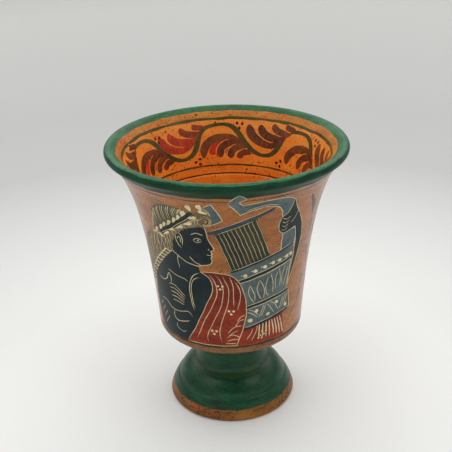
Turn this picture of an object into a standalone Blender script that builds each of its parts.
"""A pythagorean cup: a flaring clay goblet on a domed foot, with a siphon in a column inside the bowl.

Metres, +Z up. The cup stands on the plane Z = 0 with its axis on the Z axis. Its section is turned
about that axis, and the siphon passage is then cut out of the column, the floor and the stem.
"""

import math

import bpy

MM = 0.001

# Outside of the bowl
CUP_HEIGHT = 110.0 * MM
LIP_CENTRE_RADIUS = 43.7 * MM
LIP_ROUND_RADIUS = 1.87 * MM
LIP_FLARE = math.radians(55.0)
WALL_FOOT_RADIUS = 28.47 * MM
WALL_LEAN = math.radians(4.0)
WALL_LOWER_REACH = 22.3 * MM
WALL_UPPER_REACH = 13.7 * MM
BOWL_CORNER_FILLET = 3.7 * MM
UNDERSIDE_SLOPE = math.radians(26.5)

# Inside of the bowl
WALL_THICKNESS = 3.6 * MM
FLOOR_THICKNESS = 4.5 * MM
INNER_CORNER_FILLET = 6.0 * MM
GROOVE_BELOW_RIM = 26.0 * MM
GROOVE_WIDTH = 0.9 * MM
GROOVE_DEPTH = 0.35 * MM

# Column and siphon passage
BORE_RADIUS = 1.6 * MM
BORE_PARTITION = 3.8 * MM
COLUMN_WALL = 2.4 * MM
COLUMN_COVER = 2.2 * MM
COLUMN_BASE_FILLET = 3.0 * MM
COLUMN_TOP_FILLET = 5.0 * MM
WEIR_BELOW_GROOVE = 1.5 * MM
INLET_SILL = 1.8 * MM
INLET_BEND_MARGIN = 0.8 * MM
CUTTER_OVERRUN = 3.0 * MM

# Stem and foot
STEM_RADIUS = 14.45 * MM
STEM_LENGTH = 12.0 * MM
STEM_TOP_FILLET = 2.5 * MM
STEM_FOOT_FILLET = 2.0 * MM
DOME_SHOULDER = 1.95 * MM
DOME_SHOULDER_SLOPE = math.radians(30.0)
DOME_TOP_HEIGHT = 15.0 * MM
DOME_FOOT_RADIUS = 22.1 * MM
DOME_FOOT_HEIGHT = 8.1 * MM
DOME_BULGE = 0.75 * MM
STEP_WIDTH = 0.45 * MM
STEP_DROP = 0.3 * MM
FOOT_RADIUS = 25.75 * MM
SKIRT_BULGE = 0.3 * MM
FOOT_EDGE_ROUND = 1.2 * MM
FOOT_RING_WIDTH = 4.3 * MM
FOOT_RING_BELOW_STEP = 2.1 * MM
THROAT_BELOW_DOME = 1.0 * MM
STEM_WALL = 5.4 * MM
STEM_CAP_THICKNESS = 5.0 * MM
RECESS_FILLET = 2.0 * MM

# Fineness of the turned surface
TURN_STEPS = 52
WALL_STEPS = 11
LIP_STEPS = 8
CORNER_STEPS = 4
RECESS_STEPS = 2
BULGE_STEPS = 4
BORE_SIDES = 12
BORE_BEND_STEPS = 8

CLAY_COLOUR = (0.47, 0.17, 0.055, 1.0)
CLAY_ROUGHNESS = 0.45


def unit(vector):
    length = math.hypot(*vector)
    return (vector[0] / length, vector[1] / length)


def shifted(point, direction, distance):
    return (point[0] + direction[0] * distance, point[1] + direction[1] * distance)


def arc(centre, radius, start, end, steps):
    """Points on a circle from one angle to another, both ends included."""
    angles = [start + (end - start) * i / steps for i in range(steps + 1)]
    return [shifted(centre, (math.cos(a), math.sin(a)), radius) for a in angles]


def rounded(before, corner, after, radius, steps=CORNER_STEPS):
    """The corner between two straight runs, rounded off to a radius."""
    back = unit((before[0] - corner[0], before[1] - corner[1]))
    on = unit((after[0] - corner[0], after[1] - corner[1]))
    half = math.acos(back[0] * on[0] + back[1] * on[1]) / 2
    middle = unit((back[0] + on[0], back[1] + on[1]))
    centre = shifted(corner, middle, radius / math.sin(half))
    first = shifted(corner, back, radius / math.tan(half))
    last = shifted(corner, on, radius / math.tan(half))
    start = math.atan2(first[1] - centre[1], first[0] - centre[0])
    end = math.atan2(last[1] - centre[1], last[0] - centre[0])
    turn = (end - start + math.pi) % (2 * math.pi) - math.pi
    return arc(centre, radius, start, start + turn, steps)


def bulged(start, end, bulge, steps=BULGE_STEPS):
    """A shallow arc from start to end that stands off its chord by the bulge, to the left of the way it goes."""
    along = unit((end[0] - start[0], end[1] - start[1]))
    left = (-along[1], along[0])
    length = math.hypot(end[0] - start[0], end[1] - start[1])
    points = []
    for i in range(steps + 1):
        share = i / steps
        chord_point = shifted(start, along, length * share)
        points.append(shifted(chord_point, left, 4 * bulge * share * (1 - share)))
    return points


def cubic(start, start_way, start_reach, end, end_way, end_reach, steps):
    """A smooth curve that leaves start along start_way and comes into end along end_way."""
    second = shifted(start, start_way, start_reach)
    third = shifted(end, end_way, -end_reach)
    points = []
    for i in range(steps + 1):
        t = i / steps
        weights = ((1 - t) ** 3, 3 * (1 - t) ** 2 * t, 3 * (1 - t) * t * t, t**3)
        knots = (start, second, third, end)
        points.append(tuple(sum(w * knot[axis] for w, knot in zip(weights, knots)) for axis in (0, 1)))
    return points


def radius_at(points, height):
    """The radius of a rising wall at one height."""
    for low, high in zip(points, points[1:]):
        if low[1] <= height <= high[1]:
            return low[0] + (high[0] - low[0]) * (height - low[1]) / (high[1] - low[1])
    raise ValueError("the wall doesn't reach that height")


# Places that follow from the sizes
LIP_CENTRE = (LIP_CENTRE_RADIUS, CUP_HEIGHT - LIP_ROUND_RADIUS)
UP_THE_WALL = (math.sin(WALL_LEAN), math.cos(WALL_LEAN))
UP_THE_LIP = (math.sin(LIP_FLARE), math.cos(LIP_FLARE))
STEM_TOP = (STEM_RADIUS, DOME_TOP_HEIGHT + STEM_LENGTH)
WALL_FOOT_HEIGHT = STEM_TOP[1] + (WALL_FOOT_RADIUS - STEM_RADIUS) * math.tan(UNDERSIDE_SLOPE)
OUTER_CORNER = (WALL_FOOT_RADIUS, WALL_FOOT_HEIGHT)
STEM_HOLLOW_TOP = STEM_TOP[1] - STEM_CAP_THICKNESS
GROOVE_HEIGHT = CUP_HEIGHT - GROOVE_BELOW_RIM
BORE_OFFSET = BORE_RADIUS + BORE_PARTITION / 2
COLUMN_RADIUS = BORE_OFFSET + BORE_RADIUS + COLUMN_WALL
BEND_HEIGHT = GROOVE_HEIGHT - WEIR_BELOW_GROOVE - BORE_OFFSET + BORE_RADIUS
COLUMN_TOP_HEIGHT = BEND_HEIGHT + BORE_OFFSET + BORE_RADIUS + COLUMN_COVER


def underside_height(radius):
    return STEM_TOP[1] + (radius - STEM_RADIUS) * math.tan(UNDERSIDE_SLOPE)


def floor_height(radius):
    return underside_height(radius) + FLOOR_THICKNESS / math.cos(UNDERSIDE_SLOPE)


def inner_corner():
    """Where the inner face of the wall, run straight down, meets the floor."""
    foot = WALL_FOOT_RADIUS - WALL_THICKNESS / math.cos(WALL_LEAN)
    slope = math.tan(UNDERSIDE_SLOPE)
    lean = math.tan(WALL_LEAN)
    height = (floor_height(foot) - slope * lean * WALL_FOOT_HEIGHT) / (1 - slope * lean)
    return (foot + (height - WALL_FOOT_HEIGHT) * lean, height)


def wall_side(corner, fillet, lip_end):
    """One face of the wall, from the top of its corner fillet up to the lip."""
    half = (math.pi / 2 + WALL_LEAN + UNDERSIDE_SLOPE) / 2
    start = shifted(corner, UP_THE_WALL, fillet / math.tan(half))
    return cubic(start, UP_THE_WALL, WALL_LOWER_REACH, lip_end, UP_THE_LIP, WALL_UPPER_REACH, WALL_STEPS)


def with_groove(points):
    """The inner face of the wall with the fill line turned into it as a fine V groove."""
    heights = (GROOVE_HEIGHT - GROOVE_WIDTH / 2, GROOVE_HEIGHT, GROOVE_HEIGHT + GROOVE_WIDTH / 2)
    depths = (0.0, GROOVE_DEPTH, 0.0)
    groove = [(radius_at(points, z) + depth, z) for z, depth in zip(heights, depths)]
    below = [p for p in points if p[1] < heights[0] - GROOVE_WIDTH]
    above = [p for p in points if p[1] > heights[-1] + GROOVE_WIDTH]
    return below + groove + above


def column_and_bowl():
    """The section's upper side: down the column, out along the floor and up the inner face of the wall."""
    top = (0.0, COLUMN_TOP_HEIGHT)
    shoulder = (COLUMN_RADIUS, COLUMN_TOP_HEIGHT)
    base = (COLUMN_RADIUS, floor_height(COLUMN_RADIUS))
    corner = inner_corner()
    above_corner = shifted(corner, UP_THE_WALL, INNER_CORNER_FILLET)
    inner_lip = shifted(LIP_CENTRE, (-math.cos(LIP_FLARE), math.sin(LIP_FLARE)), LIP_ROUND_RADIUS)
    wall = wall_side(corner, INNER_CORNER_FILLET, inner_lip)
    section = [top]
    section += rounded(top, shoulder, base, min(COLUMN_TOP_FILLET, COLUMN_RADIUS - COLUMN_WALL / 2))
    section += rounded(shoulder, base, corner, COLUMN_BASE_FILLET)
    section += rounded(base, corner, above_corner, INNER_CORNER_FILLET)
    section += with_groove(wall)[1:-1]
    return section


def lip_and_outer_wall():
    """Over the rounded lip and down the outer face of the wall to the stem."""
    outer_lip = shifted(LIP_CENTRE, (math.cos(LIP_FLARE), -math.sin(LIP_FLARE)), LIP_ROUND_RADIUS)
    wall = wall_side(OUTER_CORNER, BOWL_CORNER_FILLET, outer_lip)
    above_corner = shifted(OUTER_CORNER, UP_THE_WALL, BOWL_CORNER_FILLET)
    section = arc(LIP_CENTRE, LIP_ROUND_RADIUS, math.pi - LIP_FLARE, -LIP_FLARE, LIP_STEPS)
    section += wall[-2:0:-1]
    section += rounded(above_corner, OUTER_CORNER, STEM_TOP, BOWL_CORNER_FILLET)
    section += rounded(OUTER_CORNER, STEM_TOP, (STEM_RADIUS, DOME_TOP_HEIGHT), STEM_TOP_FILLET)
    return section


def stem_and_foot():
    """Down the stem, over the dome, the small step and the skirt, and round the foot's edge to the ground."""
    dome_top = (STEM_RADIUS + DOME_SHOULDER, DOME_TOP_HEIGHT)
    dome_foot = (DOME_FOOT_RADIUS, DOME_FOOT_HEIGHT)
    stem_foot = (STEM_RADIUS, DOME_TOP_HEIGHT + DOME_SHOULDER * math.tan(DOME_SHOULDER_SLOPE))
    step = (DOME_FOOT_RADIUS + STEP_WIDTH, DOME_FOOT_HEIGHT - STEP_DROP)
    edge_centre = (FOOT_RADIUS - FOOT_EDGE_ROUND, FOOT_EDGE_ROUND)
    section = rounded(STEM_TOP, stem_foot, dome_top, STEM_FOOT_FILLET)
    section += bulged(dome_top, dome_foot, DOME_BULGE)
    section += bulged(step, (FOOT_RADIUS, FOOT_EDGE_ROUND), SKIRT_BULGE)
    section += arc(edge_centre, FOOT_EDGE_ROUND, 0.0, -math.pi / 2, CORNER_STEPS)[1:]
    return section


def hollow_underneath():
    """In from the foot ring, up the inside of the foot and the stem, to the hollow's flat top on the axis."""
    ring_foot = (FOOT_RADIUS - FOOT_EDGE_ROUND - FOOT_RING_WIDTH, 0.0)
    ring_top = (ring_foot[0], DOME_FOOT_HEIGHT - FOOT_RING_BELOW_STEP)
    throat = (STEM_RADIUS - STEM_WALL, DOME_TOP_HEIGHT - THROAT_BELOW_DOME)
    ceiling = (throat[0], STEM_HOLLOW_TOP)
    middle = (0.0, STEM_HOLLOW_TOP)
    section = [ring_foot]
    section += rounded(ring_foot, ring_top, throat, RECESS_FILLET, RECESS_STEPS)
    section += rounded(ring_top, throat, ceiling, RECESS_FILLET, RECESS_STEPS)
    section += rounded(throat, ceiling, middle, RECESS_FILLET, RECESS_STEPS)
    section.append(middle)
    return section


def clay():
    material = bpy.data.materials.new("painted clay")
    material.use_nodes = True
    shader = material.node_tree.nodes["Principled BSDF"]
    shader.inputs["Base Color"].default_value = CLAY_COLOUR
    shader.inputs["Roughness"].default_value = CLAY_ROUGHNESS
    return material


def turned_cup(section):
    """The section turned about the Z axis."""
    mesh = bpy.data.meshes.new("cup")
    edges = [(i, i + 1) for i in range(len(section) - 1)]
    mesh.from_pydata([(r, 0.0, z) for r, z in section], edges, [])
    cup = bpy.data.objects.new("cup", mesh)
    bpy.context.collection.objects.link(cup)
    cup.data.materials.append(clay())
    turn = cup.modifiers.new("turn", "SCREW")
    turn.steps = TURN_STEPS
    turn.render_steps = TURN_STEPS
    turn.use_merge_vertices = True
    turn.merge_threshold = 0.01 * MM
    turn.use_smooth_shade = True
    return cup


def siphon_route():
    """The passage's axis: in at the column's foot, up, over the weir and down through the stem's hollow top."""
    inlet_height = floor_height(COLUMN_RADIUS) + INLET_SILL + BORE_RADIUS
    mouth = (-COLUMN_RADIUS - CUTTER_OVERRUN, inlet_height)
    elbow = (-BORE_OFFSET, inlet_height)
    route = [mouth]
    route += rounded(mouth, elbow, (-BORE_OFFSET, BEND_HEIGHT), BORE_RADIUS + INLET_BEND_MARGIN)
    route += arc((0.0, BEND_HEIGHT), BORE_OFFSET, math.pi, 0.0, BORE_BEND_STEPS)
    route.append((BORE_OFFSET, STEM_HOLLOW_TOP - CUTTER_OVERRUN))
    return route


def siphon_cutter():
    """A bent rod of the passage's size, which is cut out of the cup and isn't a piece itself."""
    curve = bpy.data.curves.new("siphon route", "CURVE")
    curve.dimensions = "3D"
    curve.bevel_depth = BORE_RADIUS
    curve.bevel_resolution = BORE_SIDES // 2 - 2
    curve.use_fill_caps = True
    route = siphon_route()
    spline = curve.splines.new("POLY")
    spline.points.add(len(route) - 1)
    for point, (x, z) in zip(spline.points, route):
        point.co = (x, 0.0, z, 1.0)
    guide = bpy.data.objects.new("siphon route", curve)
    bpy.context.collection.objects.link(guide)
    mesh = bpy.data.meshes.new_from_object(guide)
    bpy.data.objects.remove(guide)
    cutter = bpy.data.objects.new("siphon cutter", mesh)
    bpy.context.collection.objects.link(cutter)
    weld = cutter.modifiers.new("weld", "WELD")
    weld.merge_threshold = 0.001 * MM
    cutter.hide_render = True
    cutter.display_type = "WIRE"
    return cutter


def main():
    for old in list(bpy.data.objects):
        bpy.data.objects.remove(old)
    section = column_and_bowl() + lip_and_outer_wall() + stem_and_foot() + hollow_underneath()
    cup = turned_cup(section)
    passage = cup.modifiers.new("siphon passage", "BOOLEAN")
    passage.operation = "DIFFERENCE"
    passage.solver = "EXACT"
    passage.object = siphon_cutter()


main()
